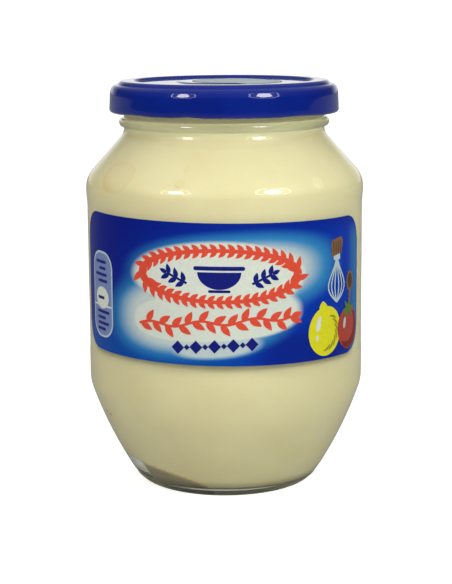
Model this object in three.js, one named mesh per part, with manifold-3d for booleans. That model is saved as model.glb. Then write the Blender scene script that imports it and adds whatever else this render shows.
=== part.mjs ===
// A mayonnaise jar: a barrel-shaped glass jar with a four-start twist-off finish,
// its filling, a paper label on the front, and a steel lid with its sealing ring.
//
// Millimetres and degrees. The jar stands on z = 0 with its axis on Z. Angles go
// round the jar from its front (-Y) towards +X.

import * as THREE from "three";
import { mergeVertices } from "three/addons/utils/BufferGeometryUtils.js";
import Module from "manifold-3d";

const wasm = await Module();
wasm.setup();

// ---------------------------------------------------------------- dimensions

const facets = 40; // round every revolved piece, a multiple of 8

// Glass body, from the standing ring up. The heights add up to the glass rim.
const wall = 2.6;
const standingRingInner = 21.5;
const pushUpHeight = 1.8;
const pushUpSlope = 2.5;
const floorThickness = 2.6;
const footRadius = 26.5;
const heelFillet = 6;
const boreHeelFillet = 5;
const taperHeight = 31.8;
const taperBow = 1.3;
const waistFillet = 13;
const lowerBandHeight = 11.2;
const lowerBandProud = 0.1;
const bodyRadius = 42;
const panelHeight = 43.4;
const panelStep = 2;
const shoulderBandHeight = 7.9;
const shoulderBandProud = 0.35;
const shoulderBlend = 4;
const shoulderFillet = 8.4;
const shoulderRise = 13.5;
const neckRadius = 30.45;
const neckFillet = 4.5;
const neckHeight = 3.3;
const beadReach = 1.45;
const beadHalfHeight = 1.35;
const finishHeight = 11.15;
const rimFillet = 1.1;

// Glass thread: one start for each lug of the lid.
const starts = 4;
const threadDepth = 1.7;
const threadWidth = 1.5;
const threadRise = 3.2;
const threadSpan = 62;
const threadPastLug = 12;
const threadSteps = 8;
const threadSink = 0.6;

// Steel lid, turned to where the lugs stand when it is screwed home.
const lidTurn = -5.4;
const sheet = 0.4;
const lidClearance = 0.7;
const lidCornerFillet = 1.4;
const skirtLean = { drop: 1.75, inset: 0.3 };
const skirtTaper = 0.25;
const curlDiameter = 1.9;
const curlSweep = 250;
const curlSteps = 4;
const hemAboveBead = 2.9;
const ringOverhang = 1.5;
const ringFillet = 1.5;
const ledgeDrop = 1.2;
const panelDrop = 0.7;
const plugClearance = 0.5;
const buttonRadius = 13.7;
const buttonRise = 0.3;
const buttonSlope = 0.9;
const lugHalfWidth = 9;
const lugHeight = 1.5;
const lugWallGap = 0.65;
const lugThreadGap = 0.35;
const lugSteps = 4;
const hemRiseAtLugs = 0.35;

// Sealing ring between the glass rim and the lid.
const linerThickness = 0.6;
const linerGap = 0.15;
const linerSideGap = 0.4;

// Filling.
const fillGap = 0.3;
const headspace = 6.2;
const heelVoid = { angle: -80, halfSpan: 68, height: 6.5, depth: 8, bow: 1.2, steps: 12 };
const shoulderPocket = { angle: -51, aboveShoulder: 2, radius: 6, depth: 0.7 };

// Label, wrapped round the recessed panel.
const labelStart = -75.5;
const labelEnd = 70.5;
const labelMargin = 0.95;
const labelCorner = 5;
const labelCornerSteps = 5;
const labelThickness = 0.2;
const labelGap = 0.1;

// ------------------------------------------------------------ derived levels

const floorZ = pushUpHeight + floorThickness;
const lowerBandTop = taperHeight + lowerBandHeight;
const panelTop = lowerBandTop + panelHeight;
const shoulderZ = panelTop + shoulderBandHeight;
const neckRootZ = shoulderZ + shoulderRise;
const beadZ = neckRootZ + neckHeight;
const rimZ = beadZ + finishHeight;
const boreRadius = neckRadius - wall;
const threadCrest = neckRadius + threadDepth;

const lidRadius = threadCrest + lidClearance + curlDiameter;
const hemZ = beadZ + hemAboveBead;
const crownZ = rimZ + linerThickness + 2 * linerGap + sheet;
const ringInner = boreRadius - plugClearance - sheet;
const ringOuter = neckRadius + ringOverhang;
const lugTopZ = hemZ + hemRiseAtLugs + lugHeight;
const fillZ = rimZ - headspace;

// ------------------------------------------------------------------ outlines

const radians = THREE.MathUtils.degToRad;

function corner(r, z, fillet = 0, steps = 2) {
  return { r, z, fillet, steps };
}

// The points between two corners on an arc that stands out from their chord.
function bowed(from, to, bow, steps) {
  const start = new THREE.Vector2(from.r, from.z);
  const chord = new THREE.Vector2(to.r, to.z).sub(start);
  const outward = new THREE.Vector2(chord.y, -chord.x).normalize();
  const inner = [];
  for (let i = 1; i < steps; i += 1) {
    const t = i / steps;
    const point = start.clone().addScaledVector(chord, t).addScaledVector(outward, 4 * bow * t * (1 - t));
    inner.push(corner(point.x, point.y));
  }
  return inner;
}

// How much of the edge to a neighbour a fillet may take up.
function edgeShare(neighbour) {
  return neighbour.fillet ? 0.45 : 0.9;
}

// Rounds each corner of an outline by its fillet, as far as its edges allow.
function rounded(corners) {
  const points = [];
  corners.forEach((here, i) => {
    const at = new THREE.Vector2(here.r, here.z);
    const before = corners[i - 1];
    const after = corners[i + 1];
    if (!here.fillet || !before || !after) {
      points.push(at);
      return;
    }
    const back = new THREE.Vector2(before.r, before.z).sub(at);
    const ahead = new THREE.Vector2(after.r, after.z).sub(at);
    const room = Math.min(back.length() * edgeShare(before), ahead.length() * edgeShare(after));
    back.normalize();
    ahead.normalize();
    const side = -Math.sign(back.cross(ahead));
    const halfTurn = (Math.PI - Math.acos(THREE.MathUtils.clamp(back.dot(ahead), -1, 1))) / 2;
    const reach = Math.min(here.fillet * Math.tan(halfTurn), room);
    const radius = reach / Math.tan(halfTurn);
    const centre = back.clone().add(ahead).normalize().multiplyScalar(radius / Math.cos(halfTurn)).add(at);
    const first = back.multiplyScalar(reach).add(at).sub(centre);
    for (let k = 0; k <= here.steps; k += 1) {
      const spoke = first.clone().rotateAround(new THREE.Vector2(), (side * 2 * halfTurn * k) / here.steps);
      points.push(spoke.add(centre));
    }
  });
  return points;
}

// Moves every edge of an outline to its left by a distance (right, if negative).
// Outer fillets shrink and inner ones grow, so that the wall stays even.
function shifted(corners, distanceOf) {
  const edges = corners.slice(1).map((to, i) => {
    const from = corners[i];
    const along = new THREE.Vector2(to.r - from.r, to.z - from.z).normalize();
    return { along, left: new THREE.Vector2(-along.y, along.x), distance: distanceOf(i) };
  });
  return corners.map((here, i) => {
    const into = edges[Math.max(i - 1, 0)];
    const out = edges[Math.min(i, edges.length - 1)];
    const turn = into.along.cross(out.along);
    let r = here.r + into.left.x * into.distance;
    let z = here.z + into.left.y * into.distance;
    if (Math.abs(turn) > 1e-6) {
      r = here.r + (into.distance * out.left.y - out.distance * into.left.y) / turn;
      z = here.z + (out.distance * into.left.x - into.distance * out.left.x) / turn;
    }
    const fillet = here.fillet && Math.max(0, here.fillet - Math.sign(turn) * into.distance);
    return corner(r, z, fillet, here.steps);
  });
}

// Where an outline that only climbs stands at a height, and how it leans there.
function outlineAt(points, z) {
  const i = points.findIndex((point, k) => k > 0 && point.y >= z && point.y > points[k - 1].y);
  const [low, high] = [points[i - 1], points[i]];
  const slope = (high.x - low.x) / (high.y - low.y);
  return { r: low.x + slope * (z - low.y), slope };
}

// -------------------------------------------------------------------- solids

function around(angle, r, z) {
  return new THREE.Vector3(r * Math.sin(radians(angle)), -r * Math.cos(radians(angle)), z);
}

function revolved(points) {
  return new THREE.LatheGeometry(points, facets).rotateX(Math.PI / 2);
}

// A closed body through rings of points, each with as many points, that follow each
// other towards larger angles. In the plane of r and z the points of a ring run
// clockwise.
function lofted(rings) {
  const size = rings[0].length;
  const index = [];
  for (let i = 0; i < rings.length - 1; i += 1) {
    for (let k = 0; k < size; k += 1) {
      const [a, b] = [i * size + k, i * size + ((k + 1) % size)];
      index.push(a, b, b + size, a, b + size, a + size);
    }
  }
  const last = (rings.length - 1) * size;
  for (let k = 1; k < size - 1; k += 1) {
    index.push(0, k + 1, k, last, last + k, last + k + 1);
  }
  const geometry = new THREE.BufferGeometry().setFromPoints(rings.flat());
  geometry.setIndex(index);
  return geometry;
}

function solidOf(geometry) {
  const bare = geometry.clone();
  bare.deleteAttribute("normal");
  bare.deleteAttribute("uv");
  const merged = mergeVertices(bare);
  const corners = merged.index.array;
  const triangles = [];
  for (let i = 0; i < corners.length; i += 3) {
    const [a, b, c] = corners.slice(i, i + 3);
    if (a !== b && b !== c && c !== a) triangles.push(a, b, c);
  }
  const mesh = new wasm.Mesh({
    numProp: 3,
    vertProperties: new Float32Array(merged.attributes.position.array),
    triVerts: new Uint32Array(triangles),
  });
  return new wasm.Manifold(mesh);
}

function geometryOf(solid) {
  const { vertProperties, triVerts } = solid.getMesh();
  const geometry = new THREE.BufferGeometry();
  geometry.setAttribute("position", new THREE.BufferAttribute(Float32Array.from(vertProperties), 3));
  geometry.setIndex(new THREE.BufferAttribute(Uint32Array.from(triVerts), 1));
  geometry.computeVertexNormals();
  return geometry;
}

// ----------------------------------------------------------------- glass jar

// The glass from the axis to the rim, without its bead, and with or without the
// shallow bands that frame the label panel on the outside.
function glassCorners(bands = []) {
  const foot = corner(footRadius, 0, heelFillet);
  const waist = corner(bodyRadius + lowerBandProud, taperHeight, waistFillet, 1);
  return [
    corner(0, 0),
    foot,
    ...bowed(foot, waist, taperBow, 4),
    waist,
    ...bands,
    corner(bodyRadius + shoulderBandProud, shoulderZ, shoulderFillet, 3),
    corner(neckRadius, neckRootZ, neckFillet),
    corner(neckRadius, rimZ),
  ];
}

// The inside of the glass, from the axis to the rim, moved in by a clearance.
function boreCorners(clearance) {
  const corners = shifted(glassCorners(), (edge) => (edge === 0 ? floorZ : wall) + clearance);
  corners[1].fillet = boreHeelFillet - clearance;
  return corners;
}

function glassBody() {
  const standingRing = [
    corner(0, pushUpHeight),
    corner(standingRingInner - pushUpSlope, pushUpHeight),
    corner(standingRingInner, 0),
  ];
  const panelBands = [
    corner(bodyRadius + lowerBandProud, lowerBandTop - panelStep),
    corner(bodyRadius, lowerBandTop),
    corner(bodyRadius, panelTop),
    corner(bodyRadius + shoulderBandProud, panelTop + shoulderBlend),
  ];
  const outside = glassCorners(panelBands).slice(1, -1);
  const bead = [];
  for (let k = 0; k <= 4; k += 1) {
    const angle = (Math.PI * k) / 4 - Math.PI / 2;
    bead.push(corner(neckRadius + beadReach * Math.cos(angle), beadZ + beadHalfHeight * Math.sin(angle)));
  }
  const rim = [corner(neckRadius, rimZ, rimFillet), corner(boreRadius, rimZ, rimFillet)];
  const inside = boreCorners(0).slice(0, -1).reverse();
  return revolved(rounded([...standingRing, ...outside, ...bead, ...rim, ...inside]));
}

// One thread, falling towards the end where the lug comes to rest under it.
function threadSolid(lugAngle) {
  const lowAngle = lugAngle - threadPastLug;
  const riseAtLug = (threadRise * (threadPastLug - lugHalfWidth)) / threadSpan;
  const lowZ = lugTopZ + lugThreadGap + threadWidth / 2 - riseAtLug;
  const rings = [];
  for (let i = 0; i <= threadSteps; i += 1) {
    const t = i / threadSteps;
    const angle = lowAngle + threadSpan * t;
    const z = lowZ + threadRise * t;
    const fullness = Math.min(1, 4 * Math.min(t, 1 - t));
    const crest = neckRadius + (threadDepth + threadSink / 2) * fullness - threadSink / 2;
    rings.push([
      around(angle, neckRadius - threadSink, z + threadWidth / 2),
      around(angle, crest, z + threadWidth / 5),
      around(angle, crest, z - threadWidth / 5),
      around(angle, neckRadius - threadSink, z - threadWidth / 2),
    ]);
  }
  return solidOf(lofted(rings));
}

function lugAngles() {
  return Array.from({ length: starts }, (_, i) => ((i + 0.5) * 360) / starts);
}

function glassJar() {
  let solid = solidOf(glassBody());
  for (const angle of lugAngles()) {
    solid = solid.add(threadSolid(angle + lidTurn));
  }
  return geometryOf(solid);
}

// ------------------------------------------------------------------- filling

// The air that the filling leaves at the heel, thinning out to both sides.
function heelVoidSolid(surface) {
  const bottomZ = surface[0].y;
  const footR = outlineAt(surface, floorZ + boreHeelFillet).r;
  const rings = [];
  for (let i = 0; i <= heelVoid.steps; i += 1) {
    const t = (2 * i) / heelVoid.steps - 1;
    const angle = heelVoid.angle + heelVoid.halfSpan * t;
    const size = (1 - t * t) ** 0.75;
    const topZ = bottomZ + heelVoid.height * size;
    const topR = outlineAt(surface, Math.max(topZ, surface[1].y)).r;
    const bottomR = footR - heelVoid.depth * size;
    const middleR = (topR + bottomR) / 2 - heelVoid.bow * size;
    const middleZ = (topZ + bottomZ) / 2 + heelVoid.bow * size;
    rings.push([
      around(angle, bodyRadius, 0),
      around(angle, bottomR, 0),
      around(angle, middleR, middleZ),
      around(angle, bodyRadius, topZ + (bodyRadius - topR)),
    ]);
  }
  return solidOf(lofted(rings));
}

// A shallow round air pocket under the glass of the shoulder.
function shoulderPocketSolid(surface) {
  const z = shoulderZ + shoulderPocket.aboveShoulder;
  const { r, slope } = outlineAt(surface, z);
  const { radius, depth } = shoulderPocket;
  const ball = (radius * radius + depth * depth) / (2 * depth);
  const outward = (ball - depth) / Math.hypot(1, slope);
  const centre = around(shoulderPocket.angle, r + outward, z - outward * slope);
  const sphere = new THREE.SphereGeometry(ball, 36, 24).translate(centre.x, centre.y, centre.z);
  return solidOf(sphere);
}

function mayonnaise() {
  const sides = boreCorners(fillGap).slice(0, -1);
  const surface = rounded([...sides, corner(boreRadius - fillGap, fillZ)]);
  const filling = solidOf(revolved([...surface, new THREE.Vector2(0, fillZ)]));
  const wallSide = surface.slice(1);
  const pockets = heelVoidSolid(wallSide).add(shoulderPocketSolid(wallSide));
  return geometryOf(filling.subtract(pockets));
}

// ----------------------------------------------------------------------- lid

function lidTopCorners() {
  const panelZ = crownZ - panelDrop;
  return [
    corner(0, panelZ + buttonRise),
    corner(buttonRadius, panelZ + buttonRise),
    corner(buttonRadius + buttonSlope, panelZ),
    corner(ringInner, panelZ),
    corner(ringInner, crownZ, ringFillet),
    corner(ringOuter, crownZ, ringFillet),
    corner(ringOuter, crownZ - ledgeDrop),
    corner(lidRadius - skirtTaper - skirtLean.inset, crownZ - ledgeDrop, lidCornerFillet),
    corner(lidRadius - skirtTaper, crownZ - ledgeDrop - skirtLean.drop),
    corner(lidRadius, hemZ + curlDiameter / 2),
  ];
}

// The points of the rolled hem, down the outside of the roll and back inside it.
function curlPoints() {
  const centre = new THREE.Vector2(lidRadius - curlDiameter / 2, hemZ + curlDiameter / 2);
  const turnTo = (k, radius) => {
    const angle = -radians((curlSweep * k) / curlSteps);
    return new THREE.Vector2(Math.cos(angle), Math.sin(angle)).multiplyScalar(radius).add(centre);
  };
  const steps = Array.from({ length: curlSteps + 1 }, (_, k) => k);
  const outer = steps.slice(1).map((k) => turnTo(k, curlDiameter / 2));
  const inner = steps.reverse().map((k) => turnTo(k, curlDiameter / 2 - sheet));
  return [...outer, ...inner];
}

function bumpAtLugs(angle) {
  const pitch = 360 / starts;
  const away = Math.abs(THREE.MathUtils.euclideanModulo(angle, pitch) - pitch / 2);
  return Math.max(0, Math.cos((Math.PI * away) / (3 * lugHalfWidth)));
}

// The hem lifts a little where the lugs are pressed in from it.
function liftHem(geometry) {
  const position = geometry.attributes.position;
  for (let i = 0; i < position.count; i += 1) {
    const z = position.getZ(i);
    const share = THREE.MathUtils.clamp((hemZ + 2 * curlDiameter - z) / curlDiameter, 0, 1);
    const angle = THREE.MathUtils.radToDeg(Math.atan2(position.getX(i), -position.getY(i)));
    position.setZ(i, z + hemRiseAtLugs * share * bumpAtLugs(angle));
  }
  return geometry;
}

// One lug, pressed in from the rolled hem to reach under its thread.
function lugSolid(lugAngle) {
  const root = lidRadius - curlDiameter / 2;
  const tip = neckRadius + lugWallGap;
  const bottomZ = lugTopZ - lugHeight;
  const rings = [];
  for (let i = 0; i <= lugSteps; i += 1) {
    const t = (2 * i) / lugSteps - 1;
    const angle = lugAngle + lugHalfWidth * t;
    const reach = root - (root - tip) * (0.35 + 0.65 * Math.cos((Math.PI * t) / 2));
    rings.push([
      around(angle, root, bottomZ),
      around(angle, reach, bottomZ + lugHeight / 4),
      around(angle, reach, lugTopZ - lugHeight / 4),
      around(angle, root, lugTopZ),
    ]);
  }
  return solidOf(lofted(rings));
}

function lid() {
  const top = lidTopCorners();
  const under = shifted(top, () => -sheet).reverse();
  const outline = [...rounded(top), ...curlPoints(), ...rounded(under).slice(1)];
  let solid = solidOf(liftHem(revolved(outline.reverse())));
  for (const angle of lugAngles()) {
    solid = solid.add(lugSolid(angle));
  }
  return geometryOf(solid);
}

function sealingRing() {
  const low = rimZ + linerGap;
  const inner = ringInner + sheet + linerSideGap;
  const outer = ringOuter - sheet - linerSideGap;
  const corners = [
    corner(inner, low + linerThickness / 2),
    corner(inner, low),
    corner(outer, low),
    corner(outer, low + linerThickness / 2),
    corner(outer - linerThickness, low + linerThickness),
    corner(inner + linerThickness, low + linerThickness),
    corner(inner, low + linerThickness / 2),
  ];
  return revolved(rounded(corners));
}

// --------------------------------------------------------------------- label

// The radius of the many-sided glass at an angle, for a radius at its edges.
function facetRadius(angle, edgeRadius) {
  const pitch = 360 / facets;
  const fromMiddle = THREE.MathUtils.euclideanModulo(angle, pitch) - pitch / 2;
  return (edgeRadius * Math.cos(radians(pitch / 2))) / Math.cos(radians(fromMiddle));
}

function label() {
  const bottom = lowerBandTop + labelMargin;
  const top = panelTop - labelMargin;
  const inner = bodyRadius + labelGap;
  const perDegree = radians(1) * inner;
  const angles = [];
  for (let k = 0; k < labelCornerSteps; k += 1) {
    const inset = (labelCorner * (1 - Math.cos((Math.PI * k) / (2 * labelCornerSteps)))) / perDegree;
    angles.push(labelStart + inset, labelEnd - inset);
  }
  const pitch = 360 / facets;
  const clear = labelCorner / perDegree;
  for (let angle = Math.ceil(labelStart / pitch) * pitch; angle < labelEnd; angle += pitch) {
    angles.push(angle);
  }
  angles.push(labelStart + clear, labelEnd - clear);
  angles.sort((a, b) => a - b);
  const rings = angles.map((angle) => {
    const fromEnd = Math.min(angle - labelStart, labelEnd - angle) * perDegree;
    const missing = Math.max(0, labelCorner - fromEnd);
    const drop = labelCorner - Math.sqrt(Math.max(0, labelCorner ** 2 - missing ** 2));
    const [near, far] = [inner, inner + labelThickness].map((radius) => facetRadius(angle, radius));
    return [
      around(angle, near, bottom + drop),
      around(angle, near, top - drop),
      around(angle, far, top - drop),
      around(angle, far, bottom + drop),
    ];
  });
  return lofted(rings);
}

// ------------------------------------------------------------------ assembly

function part(name, geometry, material) {
  const mesh = new THREE.Mesh(geometry, new THREE.MeshStandardMaterial(material));
  mesh.name = name;
  return mesh;
}

const closure = new THREE.Group();
closure.rotation.z = radians(lidTurn);
closure.add(
  part("lid", lid(), { color: 0x10247c, roughness: 0.25, metalness: 0.3 }),
  part("sealing_ring", sealingRing(), { color: 0xe6e2d6, roughness: 0.6, metalness: 0 }),
);

const jar = new THREE.Group();
jar.add(
  part("glass_jar", glassJar(), { color: 0xdfe6dc, roughness: 0.05, metalness: 0 }),
  part("mayonnaise", mayonnaise(), { color: 0xefeab5, roughness: 0.45, metalness: 0 }),
  part("label", label(), { color: 0x1b3d8f, roughness: 0.4, metalness: 0 }),
  closure,
);

export default jar;
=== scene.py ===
"""Looks of a mayonnaise jar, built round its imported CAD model.

Sizes are millimetres and degrees, and meshes are made in metres. Angles go round the
jar from its front (-Y) towards +X, as in the model.
"""

from collections import namedtuple
from math import atan2, ceil, copysign, cos, degrees, exp, hypot, pi, radians, sin, sqrt, tan

import bmesh
import bpy
from mathutils import Matrix, Vector, noise


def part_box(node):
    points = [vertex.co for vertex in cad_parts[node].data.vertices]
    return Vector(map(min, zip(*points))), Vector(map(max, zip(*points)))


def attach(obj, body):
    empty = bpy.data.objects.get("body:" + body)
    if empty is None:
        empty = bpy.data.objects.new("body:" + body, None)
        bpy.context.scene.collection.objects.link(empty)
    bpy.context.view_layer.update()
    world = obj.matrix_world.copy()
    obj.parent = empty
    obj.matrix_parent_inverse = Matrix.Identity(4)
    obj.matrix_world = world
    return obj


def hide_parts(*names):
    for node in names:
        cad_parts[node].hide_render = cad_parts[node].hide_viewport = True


MM = 0.001

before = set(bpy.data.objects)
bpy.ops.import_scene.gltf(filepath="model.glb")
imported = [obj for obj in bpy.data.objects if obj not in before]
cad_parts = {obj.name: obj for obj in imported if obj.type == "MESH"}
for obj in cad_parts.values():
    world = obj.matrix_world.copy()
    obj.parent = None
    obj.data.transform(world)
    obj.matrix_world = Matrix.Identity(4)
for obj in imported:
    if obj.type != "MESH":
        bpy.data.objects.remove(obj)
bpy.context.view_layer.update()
scene = bpy.context.scene


def box_mm(node):
    """A node's lowest and highest corners."""
    low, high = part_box(node)
    return Vector(low) / MM, Vector(high) / MM


GLASS_BOX = box_mm("glass_jar")
LID_BOX = box_mm("lid")
LABEL_BOX = box_mm("label")
LINER_BOX = box_mm("sealing_ring")

# ---- Sizes

# Glass.
WALL = 2.6
FLOOR_Z = 4.4
SHOULDER_PROUD = 0.35
BODY_RADIUS = GLASS_BOX[1].x - SHOULDER_PROUD
STANDING_RING = 21.5
PUSH_UP_HEIGHT = 1.8
PUSH_UP_SLOPE = 2.5
RIPPLE_HEIGHT = 0.12
RIPPLE_PITCH = 1.3
FOOT_RADIUS = 26.5
FOOT_RINGS_LOW = 0.9
FOOT_RINGS_HIGH = 4.3
FOOT_RING_PITCH = 1.7
FOOT_RING_DEPTH = 0.10
HEEL_FILLET = 6.6
BORE_HEEL_FILLET = 4.0
WAIST_Z = 31.8
TAPER_BOW = 1.3
WAIST_PROUD = 0.1
WAIST_FILLET = 13.0
BORE_WAIST_REACH = 7.0
LABEL_MARGIN = 0.95
PANEL_BOTTOM = LABEL_BOX[0].z - LABEL_MARGIN
PANEL_TOP = LABEL_BOX[1].z + LABEL_MARGIN
PANEL_STEP = 2.0
PANEL_FILLET = 8.0
SHOULDER_BLEND = 4.0
SHOULDER_Z = PANEL_TOP + 7.9
SHOULDER_FILLET = 8.4
NECK_ROOT_Z = SHOULDER_Z + 13.5
NECK_RADIUS = 30.45
NECK_FILLET = 4.5
BEAD_Z = NECK_ROOT_Z + 3.3
BEAD_REACH = 1.45
BEAD_HALF_HEIGHT = 1.35
BEAD_FULLNESS = 0.72
RIM_Z = GLASS_BOX[1].z
RIM_FILLET = 1.1
BORE_RADIUS = NECK_RADIUS - WALL
BORE_TOP = RIM_Z - 2 * RIM_FILLET
SEAM_ANGLES = (3.5, -176.5)
SEAM_HEIGHT = 0.09
SEAM_HALF_WIDTH = 0.45

# Glass thread and lid lugs.
STARTS = 4
LUG_PITCH = 360 / STARTS
LID_TURN = -5.4
THREAD_DEPTH = 1.7
THREAD_WIDTH = 1.5
THREAD_RISE = 3.2
THREAD_SPAN = 62.0
THREAD_PAST_LUG = 12.0
THREAD_LOW_Z = 116.8

# Lid.
SHEET = 0.4
CROWN_Z = LID_BOX[1].z
HEM_Z = LID_BOX[0].z
LID_RADIUS = LID_BOX[1].x + 0.12
LID_CORNER_FILLET = 2.1
SKIRT_LEAN_DROP = 2.3
SKIRT_LEAN_INSET = 0.70
SKIRT_LEAN_FILLET = 4.8
SKIRT_TAPER = 0.25
CURL_DIAMETER = 1.9
CURL_SWEEP = 250.0
RING_INNER = 26.95
RING_OUTER = 31.95
RING_SLOPE = 0.3
RING_FILLET = 1.5
LEDGE_DROP = 1.2
PANEL_DROP = 0.7
BUTTON_RADIUS = 13.7
BUTTON_RISE = 0.3
BUTTON_SLOPE = 0.9
LUG_HALF_WIDTH = 9.0
LUG_HEIGHT = 1.5
LUG_TIP = 31.1
HEM_RISE = 0.2
HEM_SAG = 0.3
HEM_NICK = 0.3
HEM_NICK_ANGLE = -18.0
HEM_NICK_SPREAD = 5.0

# A plain disc is printed over the lid's button, a little off its middle.
DISC_RADIUS = 13.2
DISC_OFFSET = 4.0
DISC_EDGE = 0.4

# Label: its ends are angles. It is stuck on a little askew.
LABEL_RADIUS = BODY_RADIUS + 0.12
LABEL_THICKNESS = 0.09
LABEL_START = -74.6
LABEL_END = 69.3
LABEL_CORNER = 7.8
LABEL_TRIM = 0.12
LABEL_TILT = 0.85
LABEL_MIDDLE_Z = (LABEL_BOX[0].z + LABEL_BOX[1].z) / 2
LABEL_HALF_HEIGHT = (LABEL_BOX[1].z - LABEL_BOX[0].z) / 2 - LABEL_TRIM

# ---- Outlines

Corner = namedtuple("Corner", "r z fillet", defaults=(0.0,))


def shares(count):
    """Even steps from 0 to 1."""
    return [k / count for k in range(count + 1)]


def corners_at(*rows):
    """Corners of an outline, each given as its radius, height and any fillet."""
    return [Corner(*row) for row in rows]


def bowed(start, end, bow):
    """The points between two corners on an arc that stands out from their chord."""
    a = Vector((start.r, start.z))
    chord = Vector((end.r, end.z)) - a
    outward = Vector((chord.y, -chord.x)).normalized()
    inner = (a + chord * t + outward * (4 * bow * t * (1 - t)) for t in shares(16)[1:-1])
    return corners_at(*inner)


def half_turns(corners):
    """Half the angle by which an outline turns at each of its corners."""
    halves = [0.0]
    for before, here, after in zip(corners, corners[1:], corners[2:]):
        back = Vector((before.r - here.r, before.z - here.z))
        ahead = Vector((after.r - here.r, after.z - here.z))
        halves.append((pi - back.angle(ahead)) / 2)
    return halves + [0.0]


def fillet_reaches(corners, halves):
    """How far each fillet reaches along its edges. Two that meet on an edge share it."""
    reaches = [corner.fillet * tan(half) for corner, half in zip(corners, halves)]
    for i, (a, b) in enumerate(zip(corners, corners[1:])):
        length = hypot(b.r - a.r, b.z - a.z)
        share = 0.95 * length / max(reaches[i] + reaches[i + 1], 1e-9)
        if share < 1:
            reaches[i] *= share
            reaches[i + 1] *= share
    return reaches


def rounded(corners, step=0.3):
    """Points of an outline whose corners are rounded by their fillets."""
    points = []
    halves = half_turns(corners)
    reaches = fillet_reaches(corners, halves)
    for i, (here, half, reach) in enumerate(zip(corners, halves, reaches)):
        at = Vector((here.r, here.z))
        if reach < 1e-4:
            points.append(at)
            continue
        back = (Vector(corners[i - 1][:2]) - at).normalized()
        ahead = (Vector(corners[i + 1][:2]) - at).normalized()
        radius = reach / tan(half)
        centre = at + (back + ahead).normalized() * (radius / cos(half))
        first = at + back * reach - centre
        side = -copysign(1, back.x * ahead.y - back.y * ahead.x)
        steps = max(2, ceil(2 * half * radius / step))
        for k in range(steps + 1):
            angle = side * 2 * half * k / steps
            c, s = cos(angle), sin(angle)
            spoke = Vector((first.x * c - first.y * s, first.x * s + first.y * c))
            points.append(centre + spoke)
    return points


def shifted(corners, distance_of):
    """Moves every edge of an outline to its left by a distance of its own."""
    edges = []
    for i, (start, end) in enumerate(zip(corners, corners[1:])):
        along = Vector((end.r - start.r, end.z - start.z)).normalized()
        edges.append((along, Vector((-along.y, along.x)), distance_of(i)))
    moved = []
    for i, here in enumerate(corners):
        along_in, left_in, d_in = edges[max(i - 1, 0)]
        along_out, left_out, d_out = edges[min(i, len(edges) - 1)]
        turn = along_in.x * along_out.y - along_in.y * along_out.x
        r, z = here.r + left_in.x * d_in, here.z + left_in.y * d_in
        if abs(turn) > 1e-6:
            r = here.r + (d_in * left_out.y - d_out * left_in.y) / turn
            z = here.z + (d_out * left_in.x - d_in * left_out.x) / turn
        fillet = max(0.0, here.fillet - copysign(d_in, turn * d_in)) if here.fillet else 0
        moved.append(Corner(r, z, fillet))
    return moved


def even(points, spacing_at):
    """Adds points to the long edges of an outline, spaced as asked at each height."""
    dense = [points[0]]
    for a, b in zip(points, points[1:]):
        pieces = max(1, ceil((b - a).length / spacing_at((a.y + b.y) / 2)))
        dense += [a.lerp(b, t) for t in shares(pieces)[1:]]
    return dense


def radius_at(points, z):
    """The radius of a climbing outline at a height."""
    for a, b in zip(points, points[1:]):
        if a.y <= z <= b.y and b.y > a.y:
            return a.x + (b.x - a.x) * (z - a.y) / (b.y - a.y)
    return points[-1].x


def eased(points, z, reach):
    """A climbing outline with its bend at a height drawn out into a longer curve."""
    low, bend, high = (Vector((radius_at(points, at), at)) for at in (z - reach, z, z + reach))
    curve = [low.lerp(bend, t).lerp(bend.lerp(high, t), t) for t in shares(16)]
    return [p for p in points if p.y < low.y] + curve + [p for p in points if p.y > high.y]


# ---- Meshes


def smoothstep(low, high, value):
    t = max(0.0, min(1.0, (value - low) / (high - low)))
    return t * t * (3 - 2 * t)


def apart(angle, other):
    """The angle from one direction to another, the short way round."""
    return (angle - other + 180) % 360 - 180


def around(angle, r, z):
    """The place at an angle, a radius and a height."""
    turn = radians(angle)
    return r * sin(turn), -r * cos(turn), z


def ring_angles(segments, finer=()):
    """Angles round the jar, with (start, end, step) stretches that are finer."""
    angles = {round(360 * k / segments - 180, 4) for k in range(segments)}
    for start, end, step in finer:
        angles = {a for a in angles if not start < a < end}
        count = round((end - start) / step)
        angles |= {round(start + step * k, 4) for k in range(count + 1)}
    return sorted(angles)


def strip(here, after, closed=False):
    """Faces between two rows of points. A closed strip's ends meet."""
    pairs = list(zip(here, after))
    onward = pairs[1:] + pairs[:1] if closed else pairs[1:]
    return [(a, b, d, c) for (a, b), (c, d) in zip(pairs, onward)]


def revolved(angles, outline_at):
    """A surface through one outline at each angle, from the axis back to the axis."""
    verts, columns = [], []
    for angle in angles:
        outline = outline_at(angle)
        if not verts:
            verts += [(0, 0, outline[0][1]), (0, 0, outline[-1][1])]
        columns.append(range(len(verts), len(verts) + len(outline) - 2))
        verts += [around(angle, r, z) for r, z in outline[1:-1]]
    faces = []
    for here, after in zip(columns, columns[1:] + columns[:1]):
        faces += strip(here, after)
        faces += [(0, after[0], here[0]), (1, here[-1], after[-1])]
    return verts, faces


def lofted(loops, ring=False):
    """A tube through loops of points. It is a ring, or else its two ends are closed."""
    count = len(loops[0])
    half = count // 2
    rows = [range(k * count, (k + 1) * count) for k in range(len(loops))]
    faces = []
    for here, after in zip(rows, rows[1:] + rows[:1] if ring else rows[1:]):
        faces += strip(here, after, closed=True)
    if not ring:
        for row in (rows[0], rows[-1]):
            faces += strip(row[:half], row[:half - 1:-1])
    return [point for loop in loops for point in loop], faces


def new_object(name, verts, faces, material):
    mesh = bpy.data.meshes.new(name)
    mesh.from_pydata(verts, [], faces)
    mesh.materials.append(material)
    thing = bpy.data.objects.new(name, mesh)
    scene.collection.objects.link(thing)
    return thing


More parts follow.
